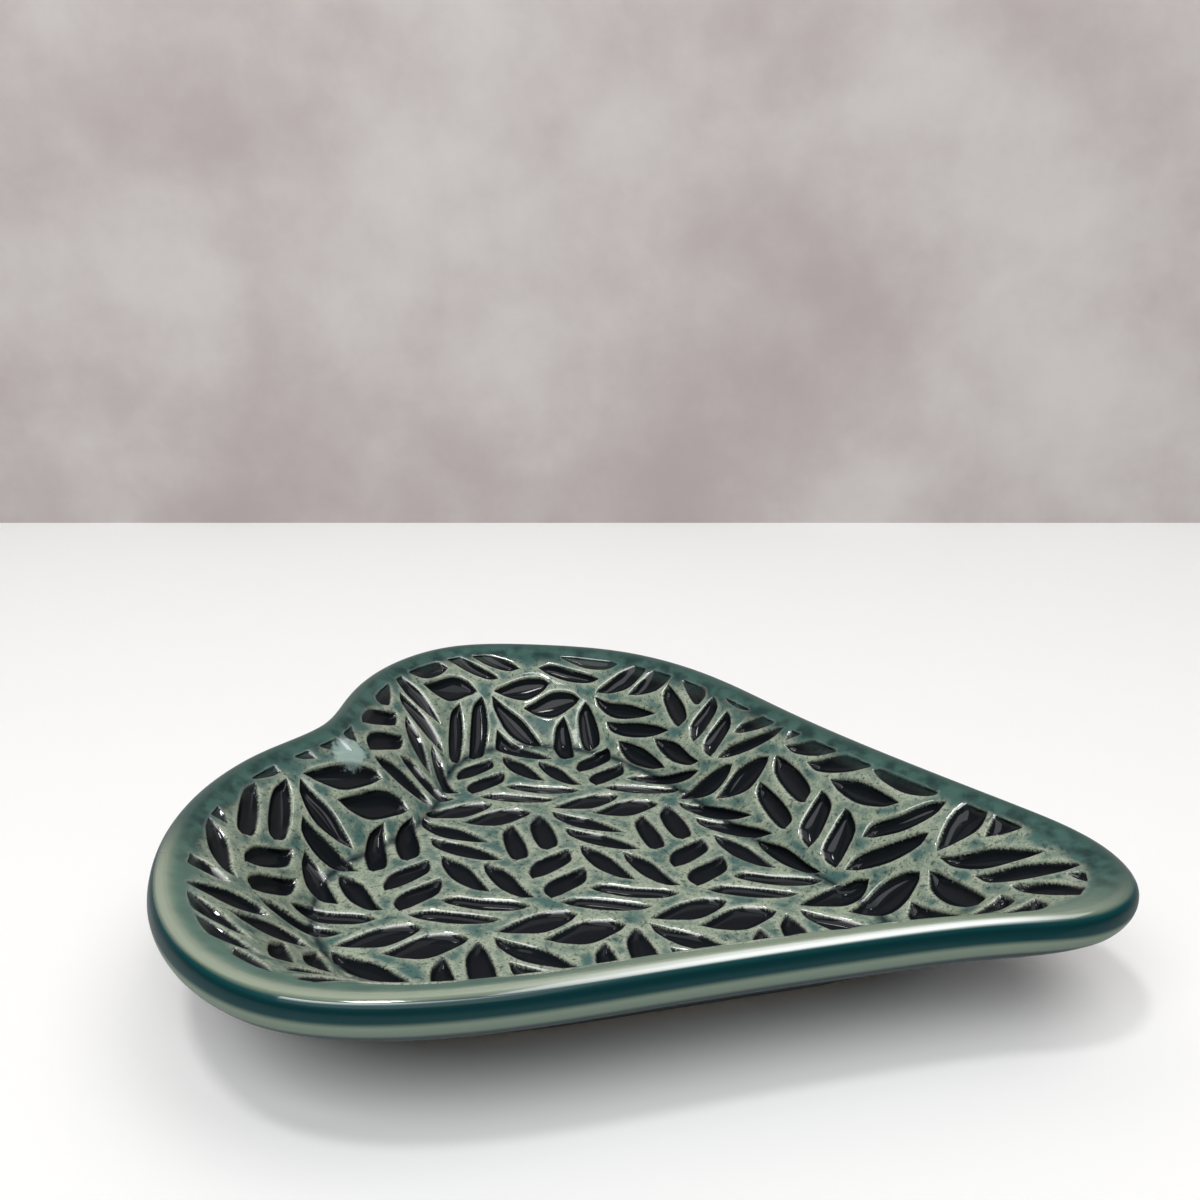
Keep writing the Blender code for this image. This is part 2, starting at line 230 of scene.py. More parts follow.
def run_at_height(count, off, height):
    """For each column, the share of the run at which a surface off the slab reaches a height."""
    runs = np.linspace(0.0, 1.0, HEIGHT_SAMPLES)
    places = slab_rows(count, [(run, 0.0, off) for run in runs[1:]])[0]
    return np.array([np.interp(height, places[:, column, 2], runs[1:]) for column in range(count)])


def underside(off, last_run, steps):
    """Rows under the wall, from just inside the rim's end down to the last share of the run."""
    return [(1.0 + (last_run - 1.0) * k / steps, -RIM_ROUND * (1 - k / steps) * (k < steps), off)
            for k in range(1, steps + 1)]


print("the glazed end is up to", round((SLAB_THICKNESS + 2 * GLAZE_OUT) / MM, 2), "mm thick")

# %% [markdown]
# ## The print
# The mat's print repeats: twelve leaf marks, then the same twelve a step to the side or a step up.
# Each leaf is drawn by eight points of its outline: a tip, three points down one side, the other tip and
# three points back. A smooth curve through each side keeps both tips pointed.

# %% One repeat of the print, in millimetres on the flat slab
REPEAT_ACROSS = np.array([19.13, 11.14])
REPEAT_UP = np.array([-7.41, 36.51])
LEAVES = [
    [(-22.8, 16.1), (-20.8, 14.1), (-16.5, 12.6), (-11.5, 13.0),
     (-8.4, 13.7), (-10.3, 14.6), (-15.1, 16.0), (-19.7, 16.0)],
    [(-18.3, 11.6), (-16.3, 9.5), (-12.2, 8.4), (-7.6, 8.5),
     (-4.1, 9.6), (-6.8, 10.9), (-11.3, 11.8), (-15.7, 11.7)],
    [(3.9, 16.7), (2.0, 13.5), (0.7, 10.7), (1.1, 8.2),
     (2.5, 6.3), (4.2, 8.8), (5.8, 13.1), (5.1, 15.4)],
    [(8.4, 12.6), (6.6, 9.6), (5.0, 6.3), (5.4, 4.1),
     (7.4, 2.4), (8.8, 5.1), (10.2, 8.6), (9.4, 11.4)],
    [(-13.9, 7.4), (-12.1, 4.7), (-8.7, 1.9), (-4.7, 0.6),
     (-1.8, 0.7), (-4.0, 2.7), (-8.0, 5.7), (-11.3, 7.0)],
    [(-6.7, 7.9), (-4.9, 5.4), (-1.1, 2.4), (2.8, 1.2),
     (5.1, 1.8), (2.6, 3.4), (-1.1, 6.4), (-4.2, 7.6)],
    [(-7.7, -4.0), (-5.3, -4.3), (-0.9, -4.0), (3.5, -2.4),
     (5.6, -0.3), (2.8, -0.1), (-2.0, -1.4), (-6.1, -2.1)],
    [(-10.3, -9.1), (-7.5, -9.2), (-3.0, -8.5), (1.2, -6.8),
     (3.0, -5.1), (1.0, -5.0), (-4.0, -5.8), (-8.2, -6.9)],
    [(-5.2, 25.5), (-5.2, 22.1), (-3.0, 18.3), (-0.5, 15.6),
     (1.1, 15.0), (1.8, 17.5), (-0.3, 21.1), (-3.3, 24.3)],
    [(-7.9, 20.7), (-8.1, 17.7), (-5.9, 13.9), (-3.4, 11.0),
     (-2.0, 10.3), (-1.1, 12.4), (-3.0, 15.7), (-6.0, 19.0)],
    [(-23.0, 17.1), (-19.7, 18.2), (-16.6, 19.7), (-14.6, 22.9),
     (-13.9, 25.6), (-16.3, 25.6), (-19.7, 23.1), (-22.3, 19.0)],
    [(-16.1, 18.0), (-12.6, 18.4), (-9.5, 19.7), (-7.2, 23.4),
     (-6.5, 25.6), (-9.2, 25.9), (-12.6, 24.1), (-15.1, 19.9)],
]
SIDE_STEPS = 6


def smooth_side(points):
    """A smooth curve through a leaf's five side points, without the last one."""
    knots = np.array(points)
    slope = np.gradient(knots, axis=0)
    share = np.arange(SIDE_STEPS)[:, None] / SIDE_STEPS
    rest = 1 - share
    spans = [(1 + 2 * share) * rest ** 2 * knots[k] + share * rest ** 2 * slope[k]
             + share ** 2 * (3 - 2 * share) * knots[k + 1] - share ** 2 * rest * slope[k + 1]
             for k in range(len(knots) - 1)]
    return np.concatenate(spans)


outlines = [np.concatenate([smooth_side(leaf[:5]), smooth_side(leaf[4:] + leaf[:1])]) for leaf in LEAVES]
AROUND = len(outlines[0])
print(len(outlines), "leaves of", AROUND, "points")

# %% [markdown]
# ## The stretched clay
# The slab was printed flat. When its edge was bent up over a form, the clay stretched, most of all near the
# crease, and the print on the wall was carried outwards and round. The pull is written down for each
# point of the heart's outline, as it is felt at the rim.

# %% How far the wall's print was carried
STRETCH_LENGTH = 8.0
PULL = [
    (1.2, 1.2), (0.5, 3.2), (0.3, 4.0), (-0.6, 5.4), (1.8, 1.8), (3.2, -2.4),
    (3.6, -2.8), (2.6, -4.0), (2.2, -3.8), (1.0, -2.8), (2.2, -2.2), (3.2, -1.6),
    (3.0, -1.5), (2.5, -1.5), (2.0, -2.0), (2.0, -2.0), (2.5, -2.5), (3.0, -3.6),
    (3.2, -5.2), (2.6, -5.8), (1.7, -4.0), (0.8, -2.4),
]


def even_values(values, count):
    """Values given at the outline's points, read at evenly spaced columns round the heart."""
    travelled, wanted = ways_round(count)
    at = np.interp(wanted, travelled, np.arange(len(travelled))) / SPLINE_STEPS
    table = np.array(values + values[:1]).reshape(len(values) + 1, -1)
    return np.stack([np.interp(at, np.arange(len(table)), column) for column in table.T], axis=1)


def printed_places(places):
    """Where rows of places on the wall lay in the flat print, and their distances from the crease."""
    count = places.shape[1]
    crease, rim = even_columns(count)
    steps_up = np.linalg.norm(np.diff(places, axis=0), axis=2) / MM
    travelled = np.concatenate([np.zeros((1, count)), np.cumsum(steps_up, axis=0)])
    settled = 1 - np.exp(-travelled[..., None] / STRETCH_LENGTH)
    printed = crease / MM + unit(rim - crease) * travelled[..., None] - even_values(PULL, count) * settled
    return printed, travelled


print("the print is carried by up to", max(np.hypot(*pull) for pull in PULL), "mm")

# %% [markdown]
# ## The glaze's rows
# The visible skin is one closed piece: a marked face, the end over the rim, the underside, and a plain
# back against the clay. Rows round the heart give the wall's shape to all of them. A potter's thumb pinched
# the cut end thinner in places, so its lower corner isn't at one height all round.

# %% Rows of the glaze from the crease to the glaze line
COLUMNS = 480
WALL_ROWS = 40
FACE_ROWS = 36
END_STEPS = 6
UNDER_ROWS = 6
PINCH = [0.0] * 9 + [0.2, 0.8, 1.5, 0.7, 0.2] + [0.0] * 3 + [0.2, 0.7, 1.0, 0.6, 0.2]


def pinched_under(count):
    """How far under the slab's upper face the glaze's underside lies, where the end is pinched."""
    return even_values(PINCH, count)[:, 0] * MM - SLAB_THICKNESS - GLAZE_OUT


GLAZE_UNDER = pinched_under(COLUMNS)

wall_runs = [k / WALL_ROWS for k in range(WALL_ROWS)]
wall_section = [(run, -RIM_ROUND * run ** DRAW_BACK, GLAZE_OUT) for run in wall_runs]
end_rows = end_section(GLAZE_OUT, GLAZE_UNDER, GLAZE_OUT, GLAZE_OUT + RIM_ROUND, END_STEPS)
last_run = run_at_height(COLUMNS, GLAZE_UNDER, GLAZE_LINE_HEIGHT)
under_rows = underside(GLAZE_UNDER, last_run, UNDER_ROWS)
places, normals = slab_rows(COLUMNS, wall_section + end_rows + under_rows)
printed, travelled = printed_places(places)
to_rim = travelled - travelled[WALL_ROWS]
wall_widths = travelled[WALL_ROWS]
print("wall is", round(wall_widths.min(), 1), "to", round(wall_widths.max(), 1), "mm wide")

# %% [markdown]
# ## The unrolled wall
# The print is drawn flat, so each flat place has to be found again on the bent wall. A modifier such as
# Surface Deform could carry a flat sheet along, but a net gives the distances too: the wall's rows are laid
# out flat as triangles, and a place inside a triangle is carried by its shares of the three corners.

# %% The unrolled wall, as a net that carries a flat place on to the bent wall
BEND_ROUND = 1.5
FLOOR_TOP = places[0, 0, 2]
steepness = (places[1, :, 2] - places[0, :, 2]) / MM / travelled[1]


def closed_rows(table):
    """The same rows, with each row's first entry again at its end."""
    return np.concatenate([table, table[:, :1]], axis=1)


def bend_lift(distance, slope):
    """How much a rounded bend lifts the slab near the crease, on both of its sides."""
    return slope * np.clip(BEND_ROUND - distance, 0.0, None) ** 2 / (4 * BEND_ROUND) * MM


places[:FACE_ROWS + 1, :, 2] += bend_lift(travelled[:FACE_ROWS + 1], steepness)
net = bmesh.new()
net_rows = closed_rows(printed[:FACE_ROWS + 1])
net_verts = bmesh.ops.create_grid(net, x_segments=COLUMNS, y_segments=FACE_ROWS, size=1.0)["verts"]
for vert, (x, y) in zip(net_verts, net_rows.reshape(-1, 2)):
    vert.co = (x, y, 0.0)
bmesh.ops.triangulate(net, faces=net.faces[:])
net.verts.index_update()
net.faces.ensure_lookup_table()
net_tree = BVHTree.FromBMesh(net)
net_places = [Vector(place) for place in closed_rows(places[:FACE_ROWS + 1]).reshape(-1, 3)]
net_normals = [Vector(normal) for normal in closed_rows(normals[:FACE_ROWS + 1]).reshape(-1, 3)]
net_climb = closed_rows(travelled[:FACE_ROWS + 1]).ravel()
net_over = closed_rows(to_rim[:FACE_ROWS + 1]).ravel()
net_ways = [Vector((climb, over, 0.0)) for climb, over in zip(net_climb, net_over)]


def carry(x, y):
    """A flat place carried on to the wall: place, normal, way up from the crease, way to the rim."""
    hit, _, index, _ = net_tree.find_nearest((x, y, 0.0))
    corners = net.faces[index].verts
    flat = [corner.co for corner in corners]
    found = [barycentric_transform(hit, *flat, *[table[corner.index] for corner in corners])
             for table in (net_places, net_normals, net_ways)]
    return found[0], found[1].normalized(), found[2].x, found[2].y


print("net of", len(net.faces), "triangles")

# %% [markdown]
# ## Choosing the marks
# The print covers the slab, and fades where the slab was smoothed near its cut end. A leaf that would run
# into that smooth band is cut short by it, and one that has hardly any of its area left is left out.

# %% Which leaves lie on the slab, and which are cut short
SMOOTH_ROW = 34
KEPT_SHARE = 0.25
HALVINGS = 12
REPEATS_ACROSS, REPEATS_UP = 7, 3


def within(points, loop):
    """Whether each point is inside a closed loop."""
    ahead = np.roll(loop, -1, axis=0)
    x, y = points[:, None, 0], points[:, None, 1]
    side = (ahead[:, 0] - loop[:, 0]) * (y - loop[:, 1]) - (ahead[:, 1] - loop[:, 1]) * (x - loop[:, 0])
    up = (loop[:, 1] <= y) & (ahead[:, 1] > y) & (side > 0)
    down = (loop[:, 1] > y) & (ahead[:, 1] <= y) & (side < 0)
    return up.sum(axis=1) != down.sum(axis=1)


def cut_short(outline, limit):
    """The outline drawn back inside the limit, or None if too little of it is left."""
    inside = within(outline, limit)
    if inside.all():
        return outline
    if inside.mean() < KEPT_SHARE:
        return None
    heart_of_it = outline[inside].mean(axis=0)
    if not within(heart_of_it[None], limit)[0]:
        return None
    low, high = np.zeros(len(outline)), np.ones(len(outline))
    for _ in range(HALVINGS):
        share = (low + high) / 2
        fits = within(heart_of_it + (outline - heart_of_it) * share[:, None], limit)
        low, high = np.where(fits, share, low), np.where(fits, high, share)
    share = np.where(inside, 1.0, low)
    return heart_of_it + (outline - heart_of_it) * share[:, None]


limit = printed[SMOOTH_ROW]
marks = []
for across in range(-REPEATS_ACROSS, REPEATS_ACROSS + 1):
    for up in range(-REPEATS_UP, REPEATS_UP + 1):
        for outline in outlines:
            moved = outline + across * REPEAT_ACROSS + up * REPEAT_UP
            cut = cut_short(moved, limit)
            if cut is not None:
                marks.append(cut)
print(len(marks), "leaves are pressed into the slab")

# %% [markdown]
# ## Pressing a leaf
# Each leaf is a small rolled grid: a ring just outside its outline, the rounded upper edge, a steep side
# and a soft keel along its middle, where the two halves of the last row meet. Near the tips, where the
# leaf is narrow, it is shallow too.

# %% One leaf's rows: out from the outline, towards the keel, and the share of the depth
LIP = 0.38
LEAF_ROWS = [(LIP, 0.0, 0.0), (0.20, 0.0, 0.03), (0.06, 0.0, 0.12), (0.0, 0.08, 0.32), (0.0, 0.20, 0.57),
             (0.0, 0.38, 0.79), (0.0, 0.66, 0.95), (0.0, 1.0, 1.0)]
TIP_PULL = 0.07
FULL_DEPTH_WIDTH = 1.0
SHALLOWEST, NARROWEST_LIP = 0.25, 0.35


def leaf_rows(outline):
    """Rows of flat places, their depths and their distances inside the outline."""
    way = unit(np.roll(outline, -1, axis=0) - np.roll(outline, 1, axis=0))
    out = np.stack([way[:, 1], -way[:, 0]], axis=1)
    middle = (outline + np.roll(outline[::-1], 1, axis=0)) / 2
    keel = middle + (outline.mean(axis=0) - middle) * TIP_PULL
    half = np.linalg.norm(outline - keel, axis=1)
    half = (half + np.roll(half[::-1], 1)) / 2
    deep = np.clip(half / FULL_DEPTH_WIDTH, SHALLOWEST, 1.0)
    room = np.clip(half / FULL_DEPTH_WIDTH, NARROWEST_LIP, 1.0)
    flat = np.array([outline + out * room[:, None] * beyond + (keel - outline) * share
                     for beyond, share, _ in LEAF_ROWS])
    depth = np.array([deep * low for _, _, low in LEAF_ROWS])
    inside = np.array([half * share - beyond for beyond, share, _ in LEAF_ROWS])
    return flat, depth, inside


def rolled_sheet(mesh, rows_of_places):
    """A grid whose vertices lie on rows of places, its last column lying on its first."""
    rows, columns = rows_of_places.shape[:2]
    verts = bmesh.ops.create_grid(mesh, x_segments=columns, y_segments=rows - 1, size=1.0)["verts"]
    for vert, place in zip(verts, closed_rows(rows_of_places).reshape(-1, 3)):
        vert.co = place
    return verts


def open_ring(verts):
    """The open edges among some of a mesh's vertices."""
    kept = {vert for vert in verts if vert.is_valid}
    return list({edge for vert in kept for edge in vert.link_edges
                 if edge.is_boundary and edge.other_vert(vert) in kept})


print("each leaf has", len(LEAF_ROWS), "rows and is open at its outer ring")

# %% [markdown]
# ## All the leaves
# The leaves are made side by side in one bmesh, still flat. Each vertex notes how far inside its leaf's
# outline it is, and how far along that outline: the glaze's colours and its frayed edge will read these.
# Welding by distance could join two halves that only pass close by, so each leaf's seam and keel are
# welded by name instead.

# %% All the leaves, side by side on the flat slab
NAMES = ("edge", "along", "climb", "over")
WELD = 0.001
APART = 40.0
glaze = bmesh.new()
layers = {name: glaze.verts.layers.float.new(name) for name in NAMES}
outer_rings = []
meeting = {}
for number, outline in enumerate(marks):
    flat, depth, inside = leaf_rows(outline)
    steps = np.linalg.norm(np.roll(outline, -1, axis=0) - outline, axis=1)
    along = np.broadcast_to(np.append(0.0, np.cumsum(steps)[:-1]) + APART * (number + 1), depth.shape)
    verts = rolled_sheet(glaze, np.concatenate([flat, -depth[..., None]], axis=2))
    for name, table in (("edge", inside), ("along", along)):
        for vert, value in zip(verts, closed_rows(table).ravel()):
            vert[layers[name]] = value
    outer_rings.append(verts[:AROUND + 1])
    keel_row = verts[-AROUND - 1:]
    meeting.update(zip(verts[AROUND::AROUND + 1], verts[::AROUND + 1]))
    meeting.update({keel_row[AROUND - k]: keel_row[k] for k in range(1, AROUND // 2)})
bmesh.ops.weld_verts(glaze, targetmap=meeting)
print("leaves:", len(glaze.faces), "faces")

# %% [markdown]
# ## The ground between the leaves
# The slab's flat face between the marks is one sheet with a hole for each leaf. Triangle fill spans it from
# the border to the leaves' outer rings, and long edges are then cut, so that the sheet can bend.

# %% The ground between the leaves
GROUND_EDGE = 1.3
CUT_ROUNDS = 4
border = bmesh.ops.create_circle(glaze, segments=COLUMNS, radius=1.0)["verts"]
for vert, (x, y) in zip(border, printed[FACE_ROWS]):
    vert.co = (x, y, 0.0)
leaf_faces = set(glaze.faces)
fill_edges = [edge for ring in outer_rings for edge in open_ring(ring)]
fill_edges += list({edge for vert in border for edge in vert.link_edges})
bmesh.ops.triangle_fill(glaze, edges=fill_edges, use_beauty=True, use_dissolve=False,
                        normal=(0.0, 0.0, 1.0))
kept_edges = set(fill_edges)
for _ in range(CUT_ROUNDS):
    ground = [face for face in glaze.faces if face not in leaf_faces]
    long_edges = {edge for face in ground for edge in face.edges
                  if edge not in kept_edges and edge.calc_length() > GROUND_EDGE}
    if not long_edges:
        break
    bmesh.ops.subdivide_edges(glaze, edges=list(long_edges), cuts=1, use_grid_fill=False)
    ground = [face for face in glaze.faces if face not in leaf_faces]
    bmesh.ops.triangulate(glaze, faces=ground)
    ground = [face for face in glaze.faces if face not in leaf_faces]
    inner = list({edge for face in ground for edge in face.edges if edge not in kept_edges})
    bmesh.ops.beautify_fill(glaze, faces=ground, edges=inner)
print("flat sheet:", len(glaze.faces), "faces,", len(glaze.verts), "vertices")

# %% [markdown]
# ## Bending the sheet
# Now the whole flat sheet goes on to the slab. Places inside the crease stay where they are on the floor,
# and the others are carried on to the wall by the net. Each is pressed in along the slab's own normal.

# %% Bend and press
MARK_DEPTH = 1.3 * MM
FADE = (2.2, 7.0)
FAINTEST = 0.3
FAR_FROM_RIM = -40.0
sheet_verts = glaze.verts[:]
flat = np.array([vert.co for vert in sheet_verts])
crease_flat = printed[0]
on_floor = within(flat[:, :2], crease_flat)
border = [vert for vert in sheet_verts if vert.is_boundary]


def search_tree(points):
    """A tree that finds the nearest of some flat points."""
    tree = KDTree(len(points))
    for index, point in enumerate(points):
        tree.insert((point[0], point[1], 0.0), index)
    tree.balance()
    return tree


crease_tree = search_tree(crease_flat)
border_tree = search_tree(printed[FACE_ROWS])
pressed_verts = {vert for face in leaf_faces for vert in face.verts}
ring_places = [vert.co.copy() for vert in pressed_verts if vert[layers["edge"]] < WELD - LIP]
leaf_tree = search_tree(ring_places)


def ease(low, high, value):
    """0 below low, 1 above high, and a smooth climb between."""
    share = np.clip((value - low) / (high - low), 0.0, 1.0)
    return share * share * (3 - 2 * share)


for vert, (x, y, low), inner in zip(sheet_verts, flat, on_floor):
    if vert not in pressed_verts:
        vert[layers["edge"]] = -LIP - leaf_tree.find((x, y, 0.0))[2]
        vert[layers["along"]] = 0.0
    if inner:
        _, nearest, gap = crease_tree.find((x, y, 0.0))
        place = Vector((x * MM, y * MM, FLOOR_TOP + bend_lift(gap, steepness[nearest])))
        normal, climb, over = Vector((0.0, 0.0, 1.0)), -gap, FAR_FROM_RIM
    else:
        place, normal, climb, over = carry(x, y)
    pressed = ease(FADE[0], FADE[1], -over)
    vert[layers["climb"]] = climb
    vert[layers["over"]] = over
    vert.co = place + normal * low * MARK_DEPTH * (FAINTEST + (1 - FAINTEST) * pressed)
    if vert.is_boundary:
        vert.co = places[FACE_ROWS][border_tree.find((x, y, 0.0))[1]]
print("bent", len(sheet_verts), "vertices,", int(on_floor.sum()), "of them on the floor")

# %% [markdown]
# ## The rim and the underside
# Past the print the slab is smooth: a band near its cut end, the round rim and the underside of the wall.
# They are one rolled grid, made from the same rows as the net, so its first row lies on the sheet's border
# and the two can be merged by distance.

# %% The smooth band, the rim and the underside, joined on to the sheet
FAR_FROM_LEAVES = -3.0
rim_rows = slice(FACE_ROWS, None)
rim_verts = rolled_sheet(glaze, places[rim_rows])
for name, table in (("climb", travelled[rim_rows]), ("over", to_rim[rim_rows])):
    for vert, value in zip(rim_verts, closed_rows(table).ravel()):
        vert[layers[name]] = value
for vert in rim_verts:
    vert[layers["edge"]] = FAR_FROM_LEAVES
glaze_line_ring = rim_verts[-COLUMNS - 1:]
bmesh.ops.remove_doubles(glaze, verts=border + rim_verts, dist=WELD * MM)
print("glaze so far:", len(glaze.faces), "faces")

# %% [markdown]
# ## The glaze's plain back
# A skin of glaze ends a little above the foot, and it has a back that sits on the clay. Solidify could
# give it one, but that copies every leaf to where nobody looks. A plainer and coarser sheet follows the
# same wall instead, and a strip bridges the two at the glaze line, so that no edge is open.
#
# The strip has a fault. Bridging guesses which way round each ring runs, and for two level rings, one
# just inside the other, the guess is wrong here: the strip's faces cross under the floor. Most of them are
# inside the clay, but from behind a dark web shows across the cleft. A back that ended 0.1 mm above the
# glaze line was tried, and then the guess is right.

# %% The glaze's plain back, and the strip that closes it at the glaze line
BACK_COLUMNS = 140
BACK_DEPTH = 0.9 * MM
BACK_OVERHANG = 0.3 * MM
BACK_RUNS = (0.0, 0.2, 0.4, 0.6, 0.8, 0.95)
BACK_END_STEPS = 6
BACK_UNDER_ROWS = 5
back_under = pinched_under(BACK_COLUMNS) + GLAZE_THICKNESS
back_run = run_at_height(BACK_COLUMNS, back_under, GLAZE_LINE_HEIGHT)


def hidden_section(inner, under, overhang, last_run):
    """A plain section behind the glaze's face: crease, wall, round end, underside."""
    rows = [(run, -RIM_ROUND * run ** DRAW_BACK, inner) for run in BACK_RUNS]
    middle = (inner + under) / 2
    for k in range(BACK_END_STEPS + 1):
        turn = pi / 2 - pi * k / BACK_END_STEPS
        rows.append((1.0, -RIM_ROUND + (RIM_ROUND + overhang) * np.cos(turn),
                     middle + (inner - middle) * np.sin(turn)))
    return rows + underside(under, last_run, BACK_UNDER_ROWS)


back_section = hidden_section(-BACK_DEPTH, back_under, BACK_OVERHANG, back_run)
back_verts = rolled_sheet(glaze, slab_rows(BACK_COLUMNS, back_section)[0])
back_crease = back_verts[:BACK_COLUMNS + 1]
back_line = back_verts[-BACK_COLUMNS - 1:]
bmesh.ops.remove_doubles(glaze, verts=back_verts, dist=WELD * MM)
bmesh.ops.triangle_fill(glaze, edges=open_ring(back_crease), use_beauty=True, use_dissolve=False)
bmesh.ops.bridge_loops(glaze, edges=open_ring(back_line) + open_ring(glaze_line_ring))
bmesh.ops.recalc_face_normals(glaze, faces=glaze.faces[:])
open_edges = [edge for edge in glaze.edges if not edge.is_manifold]
print("glaze:", len(glaze.faces), "faces, open edges:", len(open_edges))

# %% [markdown]
# ## Finishing a piece
# The hearts were drawn round the middle of their own lengths, and the CAD part has its origin in the middle
# of its box. A sidestep puts the glaze on to the CAD's middle. Both pieces take the same one, so that they
# stay one inside the other. The places go into the mesh itself, and the object stays at the origin.

# %% The sidestep on to the CAD's middle
glaze_places = np.array([vert.co for vert in glaze.verts])
glaze_middle = (glaze_places.min(axis=0) + glaze_places.max(axis=0)) / 2
cad_middle = (glaze_low + glaze_high) / 2
SIDESTEP = Vector((cad_middle.x - glaze_middle[0], cad_middle.y - glaze_middle[1], 0.0))
print("sidestep on to the CAD's middle:", [round(value / MM, 3) for value in SIDESTEP])


# %% Finish a piece: its mesh, its body and the node that it stands for
def finish_piece(name, mesh, node):
    """Turn a bmesh into a smooth piece at the origin that stands for a CAD node."""
    bmesh.ops.translate(mesh, verts=mesh.verts[:], vec=SIDESTEP)
    data = bpy.data.meshes.new(name)
    mesh.to_mesh(data)
    mesh.free()
    data.shade_smooth()
    piece = bpy.data.objects.new(name, data)
    bpy.context.scene.collection.objects.link(piece)
    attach(piece, "root")
    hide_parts(node)
    triangles = sum(len(face.vertices) - 2 for face in data.polygons)
    print(name, "has", triangles, "triangles")
    return piece


glaze_skin = finish_piece("glaze_skin", glaze, "glaze_coat")

# %% [markdown]
# ## The fired clay
# Under the glaze is the clay itself, of which only the bare foot shows. It is a plain section like the back
# of the glaze, set in by the seat gap, and it goes on below the glaze line, where the wall curls in to the
# flat foot that the dish stands on.

# %% The clay's wall, from the crease over the rim and down towards the foot
CLAY_COLUMNS = 220
FOOT_TOP = 1.55 * MM
clay_under = pinched_under(CLAY_COLUMNS) + GLAZE_OUT
clay_run = run_at_height(CLAY_COLUMNS, clay_under, FOOT_TOP)
clay_section = hidden_section(-BACK_DEPTH - SEAT_GAP, clay_under, 0.0, clay_run)
clay_rows = slab_rows(CLAY_COLUMNS, clay_section)[0]
print("clay wall:", len(clay_rows), "rows of", CLAY_COLUMNS)

# %% The clay's foot, and both closed
FOOT_SPREAD = 1.5 * MM
FOOT_SET_IN = 0.3 * MM
FOOT_CURVE = ((0.75, 0.55), (0.5, 0.25), (0.2, 0.06), (0.0, 0.0))
crease_columns, rim_columns = even_columns(CLAY_COLUMNS)
outward = unit(rim_columns - crease_columns)
foot_rows = []
for share, height in FOOT_CURVE:
    foot = crease_columns + outward * (FOOT_SPREAD * share - FOOT_SET_IN)
    foot_rows.append(np.concatenate([foot, np.full((CLAY_COLUMNS, 1), height * MM)], axis=1))
clay = bmesh.new()
clay_verts = rolled_sheet(clay, np.concatenate([clay_rows, np.array(foot_rows)]))
clay_crease = clay_verts[:CLAY_COLUMNS + 1]
clay_foot = clay_verts[-CLAY_COLUMNS - 1:]
bmesh.ops.remove_doubles(clay, verts=clay.verts[:], dist=WELD * MM)
for ring in (clay_crease, clay_foot):
    bmesh.ops.triangle_fill(clay, edges=open_ring(ring), use_beauty=True, use_dissolve=False)
bmesh.ops.recalc_face_normals(clay, faces=clay.faces[:])
print("clay open edges:", sum(not edge.is_manifold for edge in clay.edges))
fired_clay = finish_piece("fired_clay", clay, "clay_body")

# %% [markdown]
# ## Writing materials as sums
# A node tree says what a colour depends on, but it is slow to read. A small class wraps a node's output,
# so that a mask can be written as a sum, and one method makes any other node. Colours aren't sums: a Math
# node would turn them grey, so they go through a Mix node.

# %% Sums of sockets
class Wire:
    """A node's output that can be added, subtracted and multiplied."""

    def __init__(self, recipe, socket):
        self.recipe = recipe
        self.socket = socket

    def maths(self, operation, first, second=0.0):
        return self.recipe.node("ShaderNodeMath", {"operation": operation}, {0: first, 1: second})

    def __add__(self, other):
        return self.maths("ADD", self, other)

    def __radd__(self, other):
        return self.maths("ADD", other, self)

    def __sub__(self, other):
        return self.maths("SUBTRACT", self, other)

    def __rsub__(self, other):
        return self.maths("SUBTRACT", other, self)

    def __mul__(self, other):
        return self.maths("MULTIPLY", self, other)

    def __rmul__(self, other):
        return self.maths("MULTIPLY", other, self)


print("sums, differences and products of sockets become Math nodes")


# %% The nodes of a finish
class Recipe:
    """The nodes of a material or of the world."""

    def __init__(self, owner):
        self.owner = owner
        owner.use_nodes = True
        self.tree = owner.node_tree
        self.tree.nodes.clear()

    def node(self, kind, settings=None, inputs=None, out=0):
        """Any node: its settings first, then the values or wires of its sockets."""
        made = self.tree.nodes.new(kind)
        for name, value in (settings or {}).items():
            setattr(made, name, value)
        for name, value in (inputs or {}).items():
            if isinstance(value, Wire):
                self.tree.links.new(value.socket, made.inputs[name])
            else:
                made.inputs[name].default_value = value
        return Wire(self, made.outputs[out]) if len(made.outputs) else None

    def attribute(self, name):
        """A number that the mesh carries at each vertex."""
        return self.node("ShaderNodeAttribute", {"attribute_name": name}, out="Fac")

    def ease(self, value, low, high):
        """0 at low, 1 at high, smooth between."""
        return self.node("ShaderNodeMapRange", {"interpolation_type": "SMOOTHSTEP"},
                         {"Value": value, "From Min": low, "From Max": high})

    def mix(self, factor, first, second):
        """The first colour, turning into the second as the factor goes from 0 to 1."""
        return self.node("ShaderNodeMix", {"data_type": "RGBA"}, {0: factor, 6: first, 7: second}, out=2)

    def noise(self, vector, scale, detail=2.0, roughness=0.5):
        """Cloudy noise between 0 and 1, with so many waves in one unit of the vector."""
        return self.node("ShaderNodeTexNoise", {}, {
            "Vector": vector, "Scale": scale, "Detail": detail, "Roughness": roughness})

    def finish(self, settings):
        """One Principled shader on the material's output."""
        shader = self.node("ShaderNodeBsdfPrincipled", {}, settings)
        self.node("ShaderNodeOutputMaterial", {}, {"Surface": shader})
        print(self.owner.name, "has", len(self.tree.nodes), "nodes")
        return self.owner


